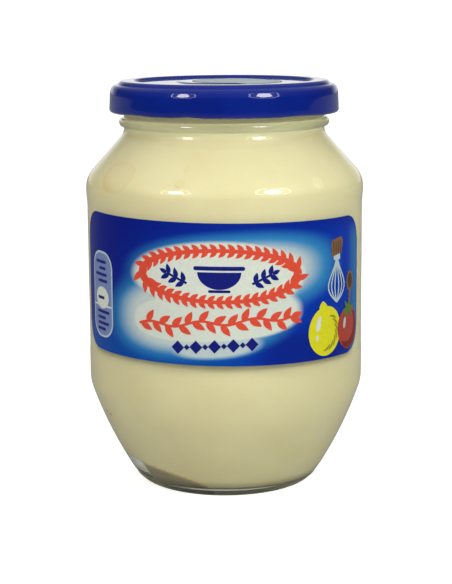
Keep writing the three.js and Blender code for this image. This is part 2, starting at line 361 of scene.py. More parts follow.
def new_piece(name, verts, faces, material, replaced=None, smooth=True):
    """A piece of the jar, from points in millimetres."""
    piece = new_object(name, [(x * MM, y * MM, z * MM) for x, y, z in verts], faces, material)
    mesh = piece.data
    bm = bmesh.new()
    bm.from_mesh(mesh)
    bmesh.ops.recalc_face_normals(bm, faces=bm.faces)
    bm.to_mesh(mesh)
    bm.free()
    mesh.polygons.foreach_set("use_smooth", [smooth] * len(mesh.polygons))
    mesh.set_sharp_from_angle(angle=radians(50))
    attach(piece, "root")
    if replaced:
        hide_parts(replaced)
    return piece


# ---- Materials


def joining(operation):
    """An operator that joins two values of a node tree."""
    return lambda value, other: value.nodes.math(operation, value, other)


class Value:
    """A node's output, which takes part in sums as a number does."""

    __add__ = joining("ADD")
    __sub__ = joining("SUBTRACT")
    __mul__ = joining("MULTIPLY")
    __truediv__ = joining("DIVIDE")
    __pow__ = joining("POWER")

    def __init__(self, nodes, socket):
        self.nodes = nodes
        self.socket = socket


class Nodes:
    """A material's or world's node tree, written as expressions."""

    def __init__(self, tree):
        self.tree = tree
        tree.nodes.clear()

    def put(self, socket, value):
        """Links a value to a socket, or sets the socket to a number or colour."""
        if isinstance(value, Value):
            value = value.socket
        if isinstance(value, bpy.types.Node):
            value = value.outputs[0]
        if isinstance(value, bpy.types.NodeSocket):
            self.tree.links.new(value, socket)
        elif socket.type == "RGBA":
            socket.default_value = (*value, 1)
        else:
            socket.default_value = value

    def add(self, kind, *values, **inputs):
        """A node, with its first inputs given in order and others by name."""
        node = self.tree.nodes.new("ShaderNode" + kind)
        for socket, value in zip(node.inputs, values):
            self.put(socket, value)
        for name, value in inputs.items():
            self.put(node.inputs[name.replace("_", " ")], value)
        return node

    def math(self, operation, *values):
        node = self.add("Math", *values)
        node.operation = operation
        return Value(self, node.outputs[0])

    def mix(self, factor, a, b):
        """A colour between two others. They are a colour mix's inputs 6 and 7."""
        node = self.add("Mix", factor)
        node.data_type = "RGBA"
        self.put(node.inputs[6], a)
        self.put(node.inputs[7], b)
        return node.outputs[2]

    def ramp(self, value, low, high):
        """A smooth step from 0 at one level of a value to 1 at another."""
        node = self.add("MapRange", value, low, high)
        node.interpolation_type = "SMOOTHSTEP"
        return Value(self, node.outputs[0])

    def place(self, space="Object"):
        """The three coordinates of a place."""
        split = self.add("SeparateXYZ", self.add("TexCoord").outputs[space])
        return [Value(self, output) for output in split.outputs]

    def rays(self, *kinds):
        """Whether a ray is of each kind."""
        path = self.add("LightPath")
        return [Value(self, path.outputs[kind]) for kind in kinds]

    def noise(self, scale, detail=2.0):
        """Noise over the piece, with its scale in features per metre."""
        where = self.add("TexCoord").outputs["Object"]
        node = self.add("TexNoise", Vector=where, Scale=scale, Detail=detail)
        return Value(self, node.outputs[0])

    def bump(self, height, distance, strength):
        return self.add("Bump", Height=height, Distance=distance, Strength=strength)

    def surface(self, **inputs):
        """Ends a material with its principled shader."""
        self.add("OutputMaterial", Surface=self.add("BsdfPrincipled", **inputs))


def new_material(name):
    material = bpy.data.materials.new(name)
    material.use_nodes = True
    return material, Nodes(material.node_tree)


def glass_material():
    """Clear glass. Light falls through it straight, so that it casts no caustics."""
    material, n = new_material("flint_glass")
    glass = n.add(
        "BsdfPrincipled",
        Base_Color=(0.955, 0.975, 0.955), Roughness=0.0, IOR=1.5, Transmission_Weight=1.0,
        Normal=n.bump(n.noise(90.0, 1.0), 0.0002, 0.12),
    )
    clear = n.add("BsdfTransparent", Color=(0.98, 0.985, 0.98))
    straight = n.math("MAXIMUM", *n.rays("Is Shadow Ray", "Is Diffuse Ray"))
    mixed = n.add("MixShader", straight, glass, clear)
    depth = n.add("VolumeAbsorption", Color=(0.52, 0.82, 0.30), Density=3.5)
    n.add("OutputMaterial", Surface=mixed, Volume=depth)
    return material


def mayonnaise_material():
    """Pale cream with faint clouds. An attribute tints it warmer and darker with painted shade up
    to 1, dark brown with painted shade at 2, and paler with painted light below 0.
    """
    material, n = new_material("mayonnaise")
    cloud = n.noise(70.0, 3.0)
    cream = n.mix(n.ramp(cloud, 0.3, 0.7), (0.872, 0.785, 0.447), (0.908, 0.828, 0.487))
    cream = n.mix(n.noise(420.0) * 0.12, cream, (0.82, 0.715, 0.42))
    attribute = n.add("Attribute")
    attribute.attribute_name = "tint_painted_shade_and_light"
    tint_painted_shade_and_light = Value(n, attribute.outputs["Fac"])
    # The attribute's warm tint and painted shade, the dark brown of painted shade, and the
    # painted light that makes the cream paler.
    cream = n.mix(tint_painted_shade_and_light, cream, (0.84, 0.64, 0.29))
    cream = n.mix(tint_painted_shade_and_light - 1.0, cream, (0.350, 0.310, 0.195))
    cream = n.mix(tint_painted_shade_and_light * -1.0, cream, (0.97, 0.90, 0.53))
    n.surface(
        Base_Color=cream, Roughness=0.42, IOR=1.4,
        Subsurface_Weight=0.4, Subsurface_Radius=(1.0, 0.85, 0.5), Subsurface_Scale=0.004,
        Normal=n.bump(n.noise(260.0) + cloud * 2.0, 0.0002, 0.5),
    )
    return material


def enamel_material():
    """Blue enamel on steel sheet: glossy, with the faintest orange peel."""
    material, n = new_material("blue_enamel")
    tone = n.ramp(n.noise(60.0), 0.3, 0.7)
    blue = n.mix(tone, (0.0004, 0.0120, 0.215), (0.0008, 0.0160, 0.245))
    x, y, _ = n.place()
    edge, within = ((RING_INNER - inset) * MM for inset in (0.05, 0.45))
    panel = n.ramp(x ** 2.0 + y ** 2.0, edge ** 2, within ** 2)
    n.surface(
        Base_Color=n.mix(panel, blue, (0.0030, 0.0300, 0.150)),
        Roughness=0.32, IOR=1.5, Specular_IOR_Level=0.04,
        Coat_Weight=1.0, Coat_Roughness=0.03, Coat_IOR=1.46,
        Normal=n.bump(n.noise(1100.0), 0.00004, 0.35),
    )
    return material


def plain_material(name, dark, light, scale, roughness, specular=0.45):
    """A finish that wavers between two close colours."""
    material, n = new_material(name)
    n.surface(
        Base_Color=n.mix(n.ramp(n.noise(scale, 3.0), 0.3, 0.7), dark, light),
        Roughness=roughness, IOR=1.45, Specular_IOR_Level=specular,
        Normal=n.bump(n.noise(scale * 8), 0.00002, 0.5),
    )
    return material


def label_material():
    """Varnished paper printed with a deep blue that glows white behind the middle."""
    material, n = new_material("label_print")
    x, y, z = n.place()
    u = n.math("ARCTAN2", x, y * -1.0) * LABEL_RADIUS
    v = z / MM - LABEL_MIDDLE_Z

    def spot(u0, v0, a, b, power, lean=0.0):
        """How far out a place is from a spot: 1 on the spot's rim."""
        across = u - u0
        up = v - v0 - across * lean
        out = n.math("ABSOLUTE", across / a) ** power + n.math("ABSOLUTE", up / b) ** power
        return out ** (1.0 / power)

    badge = spot(-1.7, 5.3, 27.4, 10.2, 2.0)
    script = spot(-3.4, -6.6, 26.4, 7.2, 2.6, 0.05)
    line = spot(-3.2, -14.7, 13.8, 3.8, 2.2, 0.06)
    upper = spot(3.5, 6.0, 30.5, 10.6, 2.3, 0.035)
    lower = spot(-8.4, -5.6, 27.2, 11.8, 2.4, 0.07)
    near = n.math("SMOOTH_MIN", badge, script, 0.20)
    halo = n.math("SMOOTH_MIN", upper, lower, 0.30)
    navy, royal = (0.0022, 0.0110, 0.235), (0.0012, 0.0350, 0.400)
    sky, white = (0.036, 0.265, 0.540), (0.74, 0.80, 0.68)
    edge = n.mix(n.ramp(u + v * -0.7, -50.0, -5.0), navy, royal)
    for share, tint in (
        (n.ramp(v, -8.0, -18.0) * n.ramp(u, 14.0, -4.0), (0.0020, 0.0700, 0.385)),
        (n.ramp(v, -8.0, -15.0) * n.ramp(u, 4.0, 16.0), (0.0020, 0.0190, 0.270)),
        (n.ramp(v, 14.5, 20.0) * 0.55, navy),
        (n.ramp(u, 42.5, 49.0) * n.ramp(v, 19.0, 13.0), (0.0200, 0.1500, 0.400)),
    ):
        edge = n.mix(share, edge, tint)
    glow = n.ramp(near, 1.05, 0.92)
    for softer in (
        n.ramp(halo, 0.96, 0.60) * 0.85,
        n.ramp(line, 1.12, 0.75) * 0.75,
        n.ramp(lower, 1.04, 0.70) * 0.80,
    ):
        glow = n.math("MAXIMUM", glow, softer)
    colour = n.mix(n.ramp(n.math("MINIMUM", halo, line), 1.26, 0.86), edge, sky)
    colour = n.mix(glow, colour, white)
    n.surface(
        Base_Color=n.mix(n.noise(700.0) * 0.10, colour, edge),
        Roughness=0.25, IOR=1.45, Specular_IOR_Level=0.1,
        Normal=n.bump(n.noise(500.0, 3.0), 0.00003, 0.5),
    )
    return material


# ---- Glass


def glass_corners(bands=()):
    """The outside of the glass, with any bands between its waist and shoulder."""
    foot = Corner(FOOT_RADIUS, 0, HEEL_FILLET)
    waist = Corner(BODY_RADIUS + WAIST_PROUD, WAIST_Z, WAIST_FILLET)
    return [
        Corner(0, 0),
        foot,
        *bowed(foot, waist, TAPER_BOW)[2:],
        waist,
        *bands,
        Corner(BODY_RADIUS + SHOULDER_PROUD, SHOULDER_Z, SHOULDER_FILLET),
        Corner(NECK_RADIUS, NECK_ROOT_Z, NECK_FILLET),
        Corner(NECK_RADIUS, RIM_Z),
    ]


def bore_corners(clearance):
    """The inside of the glass, moved in by a clearance."""
    corners = shifted(glass_corners(), lambda i: (FLOOR_Z if i == 0 else WALL) + clearance)
    corners[1] = corners[1]._replace(fillet=BORE_HEEL_FILLET)
    return corners


def glass_outline():
    """The glass in section, and how many of its points are on the outside."""
    foot = [Corner(0, PUSH_UP_HEIGHT + 0.5)]
    for k in range(13):
        z = PUSH_UP_HEIGHT + RIPPLE_HEIGHT * (1 - 2 * (k % 2))
        foot.append(Corner(1.4 + RIPPLE_PITCH * k, z, 1.0))
    foot += corners_at(
        (STANDING_RING - PUSH_UP_SLOPE, PUSH_UP_HEIGHT, 3.0),
        (STANDING_RING, 0, 0.8),
    )
    bands = corners_at(
        (BODY_RADIUS + WAIST_PROUD, PANEL_BOTTOM - PANEL_STEP, PANEL_FILLET),
        (BODY_RADIUS, PANEL_BOTTOM, PANEL_FILLET),
        (BODY_RADIUS, PANEL_TOP, PANEL_FILLET),
        (BODY_RADIUS + SHOULDER_PROUD, PANEL_TOP + SHOULDER_BLEND, PANEL_FILLET),
    )
    bead = []
    for out, z in arc(0, BEAD_Z, 1, BEAD_HALF_HEIGHT, -90, 90, 16):
        bead.append(Corner(NECK_RADIUS + BEAD_REACH * max(0.0, out) ** BEAD_FULLNESS, z))
    rim = corners_at(
        (NECK_RADIUS, RIM_Z, RIM_FILLET),
        (BORE_RADIUS, RIM_Z, RIM_FILLET),
        (BORE_RADIUS, BORE_TOP),
    )
    outer = rounded(foot + glass_corners(bands)[1:-1] + bead + rim)
    outside = even(outer, lambda z: 0.35 if z > BEAD_Z or z < 6 else 0.9)
    bore = rounded(bore_corners(0)[:-1] + [Corner(BORE_RADIUS, BORE_TOP)])
    inside = even(eased(bore, WAIST_Z, BORE_WAIST_REACH)[::-1], lambda z: 1.6)[1:]
    return outside + inside, len(outside)


def thread_height(angle, z):
    """How far the threads stand out of the neck at a place. They don't overlap."""
    start = LID_TURN + LUG_PITCH / 2 - THREAD_PAST_LUG
    t = (angle - start) % LUG_PITCH / THREAD_SPAN
    if t > 1:
        return 0.0
    fullness = min(1.0, 4 * min(t, 1 - t))
    away = abs(z - THREAD_LOW_Z - THREAD_RISE * t)
    ridge = smoothstep(THREAD_WIDTH, 0.35 * THREAD_WIDTH, 1.15 * away + 0.1)
    return THREAD_DEPTH * fullness * ridge


def glass_relief(angle, r, z):
    """Moulded and chance relief on the outside of the glass."""
    wave = noise.noise(Vector(around(angle, r, z)) / 16.0)
    height = 0.05 * wave - 0.06 * smoothstep(BODY_RADIUS, BODY_RADIUS + SHOULDER_PROUD, r)
    if z > 1.0:
        for seam in SEAM_ANGLES:
            away = radians(abs(apart(angle, seam))) * r / SEAM_HALF_WIDTH
            height += SEAM_HEIGHT * exp(-away * away)
    if FOOT_RINGS_LOW < z < FOOT_RINGS_HIGH:
        turn = 2 * pi * (z - FOOT_RINGS_LOW) / FOOT_RING_PITCH
        height -= FOOT_RING_DEPTH * (0.5 - 0.5 * cos(turn))
    return height


def make_glass():
    outline, outside = glass_outline()

    def outline_at(angle):
        points = []
        for i, (r, z) in enumerate(outline):
            if i < outside and r > STANDING_RING + 1 and z < BORE_TOP:
                r += glass_relief(angle, r, z) * smoothstep(BEAD_Z + 4, BEAD_Z, z)
                if z > BEAD_Z + BEAD_HALF_HEIGHT:
                    r += thread_height(angle, z)
            points.append((r, z))
        return points

    angles = ring_angles(160, [(seam - 3.0, seam + 3.0, 0.3) for seam in SEAM_ANGLES])
    verts, faces = revolved(angles, outline_at)
    new_piece("glass_body", verts, faces, glass_material(), "glass_jar")


# ---- Mayonnaise

# The filling reaches this far into the glass wall. Up to a split it is built in finer
# rows, which follow the air in its heel.
BITE = 0.15
FILL_Z = box_mm("mayonnaise")[1].z
SPLIT_Z = 17.0

# Heights between which the rows are finer, for the pockets, fold and crease.
FINE_BANDS = ((90, 110), (32, 38), (23, 26))

# The air in the heel. It is a real void up to one angle, and from there, where it thins out, a
# dark brown film of painted shade on the filling.
AIR_ANGLE = -80.0
AIR_HALF_SPAN = 68.0
AIR_HEIGHT = 6.5
AIR_DEPTH = 5.5
AIR_BOW = 0.8
AIR_OPEN_TO = -54.0

# Air pockets under the glass: angle, height, half-width, half-length, depth, and tint. A tint
# above 0 is warm with painted shade, one below 0 is paler with painted light, and the last two
# pockets are small dark specks.
POCKETS = (
    (-54.2, 95.7, 7.2, 5.6, 0.12, 0.36),
    (-19.3, 95.3, 1.4, 1.4, 0.10, 0.40),
    (-17.6, 99.1, 1.1, 1.1, 0.10, 0.35),
    (42.8, 94.6, 1.9, 1.7, 0.12, -0.90),
    (37.6, 97.8, 0.5, 0.5, 0.10, 0.15),
    (64.3, 95.6, 2.2, 2.0, 0.10, 0.10),
    (-69.7, 24.7, 0.50, 0.65, 0.02, 4.0),
    (-66.0, 24.2, 0.45, 0.60, 0.02, 4.0),
)
SLOPE_STRETCH = 1.32

# A faint fold low on the right: its two ends, half-width and depth.
FOLD = ((52.8, 34.2), (63.5, 36.6), 0.45, 0.12)

# Under the neck's bead the filling is painted paler, as painted light against the lid's shade,
# down to a faint dark line of painted shade at a crease.
CREASE_Z = NECK_ROOT_Z - 1.1
CREASE_SPREAD = 0.6
CREASE_PAINTED_SHADE = 0.24
PALE_LOW = NECK_ROOT_Z - 0.4
PALE_HIGH = NECK_ROOT_Z + 1.4
PAINTED_LIGHT_UNDER_BEAD = 0.9


def air_size(angle):
    """How full the air in the heel is at an angle."""
    t = apart(angle, AIR_ANGLE) / AIR_HALF_SPAN
    return max(0.0, 1 - t * t) ** 0.75


def heel_with_air(wall, angle):
    """The filling's lower outline at an angle, where air lies in the heel."""
    size = air_size(angle)
    if size == 0:
        return wall
    bottom_z = wall[0].y
    top_z = bottom_z + AIR_HEIGHT * size
    top_r = radius_at(wall[1:], top_z)
    bottom_r = FOOT_RADIUS - AIR_DEPTH * size
    bow = AIR_BOW * size
    control = Vector(((top_r + bottom_r) / 2 - 2 * bow, (top_z + bottom_z) / 2 + 2 * bow))
    start, end = Vector((bottom_r, bottom_z)), Vector((top_r, top_z))
    kept = []
    for s in shares(40):
        point = start * (1 - s) ** 2 + control * (2 * s * (1 - s)) + end * s * s
        if point.x <= radius_at(wall[1:], point.y) + 1e-6:
            kept.append(point)
    if len(kept) < 2:
        return wall
    below = [p for p in wall if p.y <= kept[0].y and p.x <= kept[0].x]
    above = [p for p in wall if p.y > top_z + 1e-6]
    return below + kept + above


def film_shade_at(angle, z):
    """How thick the painted shade past the void is: a dark brown film on the filling."""
    if angle > AIR_ANGLE + AIR_HALF_SPAN:
        return 0.0
    below = FLOOR_Z + AIR_HEIGHT * air_size(angle) - z
    return smoothstep(-0.1, 0.2, below) + smoothstep(-0.1, 1.5, below)


def resampled(points, count):
    """The same line through a number of points, evenly along its length."""
    lengths = [0.0]
    for a, b in zip(points, points[1:]):
        lengths.append(lengths[-1] + (b - a).length)
    result, i = [], 0
    for k in range(count):
        goal = lengths[-1] * k / (count - 1)
        while i < len(points) - 2 and lengths[i + 1] < goal:
            i += 1
        step = lengths[i + 1] - lengths[i]
        result.append(points[i].lerp(points[i + 1], (goal - lengths[i]) / step if step else 0))
    return result


def pocket_depth(angle, r, z):
    """How deep the filling is dented at a place, and its tint there, with painted shade at air
    pockets and painted light at a paler one.
    """
    depth, tint_painted_shade_and_light = 0.0, 0.0
    for pocket_angle, pocket_z, half_width, half_length, deepest, pocket_tint_shade_light in POCKETS:
        across = radians(apart(angle, pocket_angle)) * r / half_width
        up = (z - pocket_z) * SLOPE_STRETCH / half_length
        away = hypot(across, up)
        if away < 1:
            # Painted shade, strongest on a pocket's lower left, and a painted outline round the
            # rest of its rim; a tint below 0 makes these painted light.
            shaded_low_left = smoothstep(0.2, 1.1, -0.7 * (across + up))
            depth = max(depth, deepest * (1 - away ** 6))
            rim = smoothstep(0.80, 0.93, away) * smoothstep(1.0, 0.95, away)
            patch = (0.4 + 2.2 * shaded_low_left) * smoothstep(1.0, 0.80, away)
            tint_painted_shade_and_light = pocket_tint_shade_light * (patch + 0.9 * rim * (1 - shaded_low_left))
    (a0, z0), (a1, z1), half_width, deepest = FOLD
    place = Vector((radians(apart(angle, a0)) * r, z - z0))
    run = Vector((radians(a1 - a0) * r, z1 - z0))
    along = max(0.0, min(1.0, place.dot(run) / run.length_squared))
    away = (place - run * along).length / half_width
    if away < 1:
        depth = max(depth, deepest * (1 - away * away) * sin(pi * along) ** 0.5)
    return depth, tint_painted_shade_and_light


def make_mayonnaise():
    """The filling, with a value at each of its points for its tint and its painted shade and
    light.
    """
    top = Corner(BORE_RADIUS + BITE, FILL_Z, 1.5)
    base = rounded([*bore_corners(-BITE)[:-1], top, Corner(0, FILL_Z - 0.6)])
    base = eased(base, WAIST_Z, BORE_WAIST_REACH)

    def spacing(z):
        if any(start < z < end for start, end in FINE_BANDS):
            return 0.4
        return 1.1 if z > 104 else 2.4

    split = Vector((radius_at(base, SPLIT_Z), SPLIT_Z))
    low = even([p for p in base if p.y <= SPLIT_Z], lambda z: 0.3) + [split]
    high = even([split] + [p for p in base if p.y > SPLIT_Z], spacing)[1:]
    painted_shade_light_values = [0.0, 0.0]

    def outline_at(angle):
        open_heel = angle < AIR_OPEN_TO
        lower = resampled(heel_with_air(low, angle) if open_heel else low, 62)
        points, painted_shade_light_here = [], []
        for r, z in lower + high:
            depth, tint_painted_shade_and_light = pocket_depth(angle, r, z) if z > 20 else (0.0, 0.0)
            if z <= SPLIT_Z:
                inset = radius_at(low[1:], z) - r if z > FLOOR_Z + 0.5 else 0.0
                # The filling in the open void gets a warm painted shade, and past the void the
                # dark brown film of painted shade.
                tint_painted_shade_and_light = smoothstep(0.0, 0.6, inset) if open_heel else film_shade_at(angle, z)
            if z > FILL_Z - 2 and r < BORE_RADIUS - 2:
                z += 0.35 * noise.noise(Vector((*around(angle, r, z)[:2], 0)) / 9.0)
            points.append((r - depth, z))
            # A faint line of painted shade at the crease, and painted light that makes the
            # filling paler under the bead.
            tint_painted_shade_and_light += CREASE_PAINTED_SHADE * exp(-((z - CREASE_Z) / CREASE_SPREAD) ** 2)
            painted_shade_light_here.append(tint_painted_shade_and_light - PAINTED_LIGHT_UNDER_BEAD * smoothstep(PALE_LOW, PALE_HIGH, z))
        painted_shade_light_values.extend(painted_shade_light_here[1:-1])
        return points

    angles = ring_angles(150, [(-72.0, -8.4, 0.6), (34.2, 70.2, 0.6)])
    verts, faces = revolved(angles, outline_at)
    piece = new_piece(
        "mayonnaise_fill", verts, faces, mayonnaise_material(), "mayonnaise"
    )
    attribute = piece.data.attributes.new("tint_painted_shade_and_light", "FLOAT", "POINT")
    attribute.data.foreach_set("value", painted_shade_light_values)


# ---- Lid


def lid_top_corners():
    """The top of the lid, from its middle out and down to its hem."""
    panel_z = CROWN_Z - PANEL_DROP
    ledge_z = CROWN_Z - LEDGE_DROP
    skirt = LID_RADIUS - SKIRT_TAPER
    return corners_at(
        (0, panel_z + BUTTON_RISE),
        (BUTTON_RADIUS, panel_z + BUTTON_RISE, 0.5),
        (BUTTON_RADIUS + BUTTON_SLOPE, panel_z, 0.5),
        (RING_INNER, panel_z, 0.35),
        (RING_INNER + RING_SLOPE, CROWN_Z, RING_FILLET),
        (RING_OUTER - RING_SLOPE, CROWN_Z, RING_FILLET),
        (RING_OUTER + RING_SLOPE, ledge_z, 0.5),
        (skirt - SKIRT_LEAN_INSET, ledge_z, LID_CORNER_FILLET),
        (skirt, ledge_z - SKIRT_LEAN_DROP, SKIRT_LEAN_FILLET),
        (LID_RADIUS, HEM_Z + CURL_DIAMETER / 2),
    )


def hem_rise(angle, z):
    """The hem lifts at its lugs and at a small nick, and sags on the right."""
    away = abs((angle - LID_TURN) % LUG_PITCH - LUG_PITCH / 2)
    share = max(0.0, min(1.0, (HEM_Z + 2 * CURL_DIAMETER - z) / CURL_DIAMETER))
    lug = max(0.0, cos(pi * min(away / (3 * LUG_HALF_WIDTH), 1)))
    nick = exp(-(apart(angle, HEM_NICK_ANGLE) / HEM_NICK_SPREAD) ** 2)
    sag = HEM_SAG * max(0.0, sin(radians(angle)))
    return share * (HEM_RISE * lug + HEM_NICK * nick - sag)


def arc(u, v, a, b, start, end, steps):
    """Points on an ellipse with half-axes a and b, between two of its angles."""
    turns = [radians(start + (end - start) * t) for t in shares(steps)]
    return [(u + a * cos(turn), v + b * sin(turn)) for turn in turns]


def lug_mesh(lug_angle):
    """One lug, pressed in from the rolled hem to reach under its thread."""
    root = LID_RADIUS - CURL_DIAMETER / 2
    half = LUG_HEIGHT / 2
    loops = []
    for share in shares(12):
        t = 2 * share - 1
        reach = (root - LUG_TIP) * (0.3 + 0.7 * cos(pi * t / 2)) / 2
        section = arc(root - reach, HEM_Z + HEM_RISE + half, reach, half, 0, 330, 11)
        loops.append([around(lug_angle + LUG_HALF_WIDTH * t, r, z) for r, z in section])
    return lofted(loops)


def make_lid():
    """The pressed steel shell, its rolled hem and its four lugs."""
    top = lid_top_corners()
    over = even(rounded(top, 0.15), lambda z: 0.8)
    under = even(rounded(shifted(top, lambda i: -SHEET)[::-1], 0.25), lambda z: 1.2)
    half = CURL_DIAMETER / 2
    hem = LID_RADIUS - half, HEM_Z + half
    outer, inner = (arc(*hem, r, r, 0, -CURL_SWEEP, 20) for r in (half, half - SHEET))
    outline = over + outer[1:] + inner[::-1] + under[1:]

    def outline_at(angle):
        return [(r, z + hem_rise(angle, z)) for r, z in outline]

    verts, faces = revolved(ring_angles(240), outline_at)
    for k in range(STARTS):
        lug_verts, lug_faces = lug_mesh((k + 0.5) * LUG_PITCH + LID_TURN)
        faces += [tuple(len(verts) + i for i in face) for face in lug_faces]
        verts += lug_verts
    new_piece("lid_shell", verts, faces, enamel_material(), "lid")


def lid_disc(name, rings, lift, material):
    """A thin printed disc or ring that follows the lid's top."""
    lid_top = [point.yx for point in rounded(lid_top_corners(), 0.2)]
    loops = []
    for angle in ring_angles(96):
        loop = []
        for radius in rings:
            x, y, _ = around(angle, radius, 0)
            x += DISC_OFFSET
            loop.append((x, y, radius_at(lid_top, hypot(x, y))))
        loops.append([(x, y, z + lift) for x, y, z in loop] + loop[::-1])
    verts, faces = lofted(loops, ring=True)
    new_piece(name, verts, faces, material)


def make_lid_print():
    """A plain pale disc with a dark edge."""
    grey = plain_material("lid_print", (0.405, 0.485, 0.505), (0.465, 0.545, 0.560), 260.0, 0.55)
    rings = [0.05] + [DISC_RADIUS * t for t in shares(44)[1:]]
    lid_disc("lid_disc_print", rings, 0.05, grey)
    # A thin dark ring round the disc's edge.
    edge = plain_material("lid_disc_dark_ring", (0.010, 0.014, 0.05), (0.012, 0.018, 0.06), 260.0, 0.4)
    rings = [DISC_RADIUS + DISC_EDGE * t for t in shares(8)[1:]]
    lid_disc("lid_disc_edge", rings, 0.07, edge)


def make_liner():
    """The sealing ring between the glass rim and the lid."""
    low, high = LINER_BOX[0].z, LINER_BOX[1].z
    middle = (low + high) / 2
    outer = LINER_BOX[1].x
    inner = RING_INNER + SHEET + 0.3
    section = corners_at(
        (inner + 1.0, low),
        (inner, low, 0.3),
        (inner, middle, 0.2),
        (inner + 0.9, high, 0.5),
        (outer - 0.9, high, 0.5),
        (outer, middle, 0.2),
        (outer, low, 0.3),
        (inner + 1.2, low),
    )
    points = rounded(section, 0.2)
    loops = [[around(angle, r, z) for r, z in points] for angle in ring_angles(144)]
    verts, faces = lofted(loops, ring=True)
    white = plain_material("sealing_compound", (0.72, 0.70, 0.62), (0.80, 0.78, 0.70), 300.0, 0.6)
    new_piece("liner_ring", verts, faces, white, "sealing_ring")


# ---- Label

# The label's own plane: u runs along its arc from the front to the right, and v
# climbs from its middle.
U_START = radians(LABEL_START) * LABEL_RADIUS
U_END = radians(LABEL_END) * LABEL_RADIUS


def on_label(u, v, layer):
    """The place of a point of the label, a layer's height over its paper."""
    angle = degrees(u / LABEL_RADIUS)
    z = LABEL_MIDDLE_Z + v - u * tan(radians(LABEL_TILT))
    return around(angle, LABEL_RADIUS + layer, z)


def make_label_paper():
    """The paper: a grid over its rounded outline, front, back and edge."""
    loops = []
    for along in shares(150):
        u = U_START + (U_END - U_START) * along
        from_end = min(u - U_START, U_END - u)
        missing = max(0.0, LABEL_CORNER - from_end)
        drop = LABEL_CORNER - sqrt(max(0.0, LABEL_CORNER ** 2 - missing ** 2))
        half = LABEL_HALF_HEIGHT - drop
        curl = 0.07 * exp(-from_end / 1.6)
        front, back = [], []
        for up in shares(30):
            v = half * (2 * up - 1)
            rise = curl + 0.03 * noise.noise(Vector((u / 7.0, v / 16.0, 5.0)))
            front.append(on_label(u, v, rise))
            back.append(on_label(u, v, rise - LABEL_THICKNESS))
        loops.append(front + back[::-1])
    verts, faces = lofted(loops)
    new_piece("label_sheet", verts, faces, label_material(), "label")


# ---- Label print

INKS = {
    "white": (0.76, 0.81, 0.70),
    "red": (0.80, 0.085, 0.045),
    "navy": (0.008, 0.014, 0.20),
    "pale_blue": (0.20, 0.27, 0.52),
    "frost": (0.54, 0.64, 0.74),
    "yellow": (0.78, 0.75, 0.020),
    "olive": (0.36, 0.33, 0.020),
    "brown": (0.23, 0.12, 0.055),
    "dark_brown": (0.085, 0.045, 0.025),
    "tomato": (0.44, 0.060, 0.040),
    "crimson": (0.20, 0.022, 0.020),
    "green": (0.10, 0.20, 0.035),
    "light": (0.50, 0.63, 0.66),
}
INK_THICKNESS = 0.012

# How far each layer of ink lies over the paper.
FIRST, SECOND, THIRD, FOURTH = 0.05, 0.07, 0.09, 0.11

# Printed shapes are cut this often, so that they bend with the label.
PRINT_FACET = 1.3

# Leaves that grow from one point start this far from it, so that they share no edge.
LEAF_GAP = 0.02

# The height and length of each bar in the small panel.
CAPSULE_BARS = (
    (6.0, 6.4), (4.1, 4.0), (2.2, 7.2), (0.3, 5.6), (-4.8, 4.0),
    (-9.0, 7.4), (-10.8, 5.2), (-12.5, 6.8), (-14.2, 5.0),
)


def placed(points, u, v, lean):
    """Points turned by a lean, at a place on the label."""
    c, s = cos(radians(lean)), sin(radians(lean))
    return [(u + a * c - b * s, v + a * s + b * c) for a, b in points]


def ellipse(u, v, a, b, lean=0.0, steps=28):
    return placed(arc(0, 0, a, b, 0, 360, steps)[:-1], u, v, lean)


def rounded_box(u0, u1, v0, v1, radius, steps=8):
    low, high, left, right = v0 + radius, v1 - radius, u0 + radius, u1 - radius
    points = []
    for k, (u, v) in enumerate(((right, high), (left, high), (left, low), (right, low))):
        points += arc(u, v, radius, radius, 90 * k, 90 * (k + 1), steps)
    return points


def leaf(u, v, length, width, lean):
    """A pointed leaf that grows from (u, v) in the direction it leans."""
    sides = []
    for t in shares(9):
        sides.append((LEAF_GAP + length * t, width / 2 * sin(pi * t ** 0.8) ** 0.9))
    return placed(sides + [(a, -b) for a, b in sides[-2:0:-1]], u, v, lean)


def stroke(path, widths):
    """A brush stroke along a path, with its width at each point."""
    left, right = [], []
    for i, (u, v) in enumerate(path):
        ahead = Vector(path[min(i + 1, len(path) - 1)]) - Vector(path[max(i - 1, 0)])
        side = Vector((-ahead.y, ahead.x)).normalized() * widths[i] / 2
        left.append((u + side.x, v + side.y))
        right.append((u - side.x, v - side.y))
    return left + right[::-1]


def walk(path, spacing, offset=0.5):
    """Points at even distances along a path, each with its direction in degrees."""
    steps = []
    left = spacing * offset
    for a, b in zip(path, path[1:]):
        a, b = Vector(a), Vector(b)
        length = (b - a).length
        while left < length:
            at = a.lerp(b, left / length)
            steps.append((at.x, at.y, degrees(atan2(b.y - a.y, b.x - a.x))))
            left += spacing
        left -= length
    return steps


